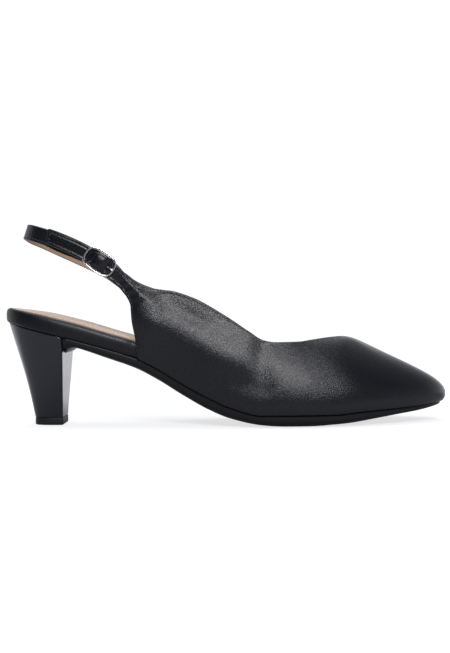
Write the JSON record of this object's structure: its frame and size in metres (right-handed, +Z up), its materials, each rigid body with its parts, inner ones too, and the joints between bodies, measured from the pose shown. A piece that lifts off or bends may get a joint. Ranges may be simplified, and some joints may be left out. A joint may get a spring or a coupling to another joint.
{
  "type": "slingback pump",
  "caption": "Closed-toe slingback pump: wavy topline, strap round the heel with an oval buckle on the outer side, open waist, slim covered heel. Right shoe.",
  "frame": {"origin": "on the floor, under the middle of the shoe's box", "axes": "+X towards the toe, -Y towards the outer side of the foot, +Z up"},
  "size_m": [0.2462, 0.0802, 0.1117],
  "materials": {
    "upper_leather": "fine-grained, satin",
    "edge_leather": "smooth, satin",
    "sock_leather": "matte",
    "outsole": "smooth, matte on its edge",
    "heel": "glossy lacquer",
    "top_piece": "matte",
    "buckle": "polished"
  },
  "bodies": {
    "root": {"upper": "upper_leather", "sling_strap": "upper_leather", "insole": "edge_leather", "sock": "sock_leather", "outsole": "outsole", "heel": "heel", "top_piece": "top_piece", "buckle": "buckle"}
  },
  "joints": []
}
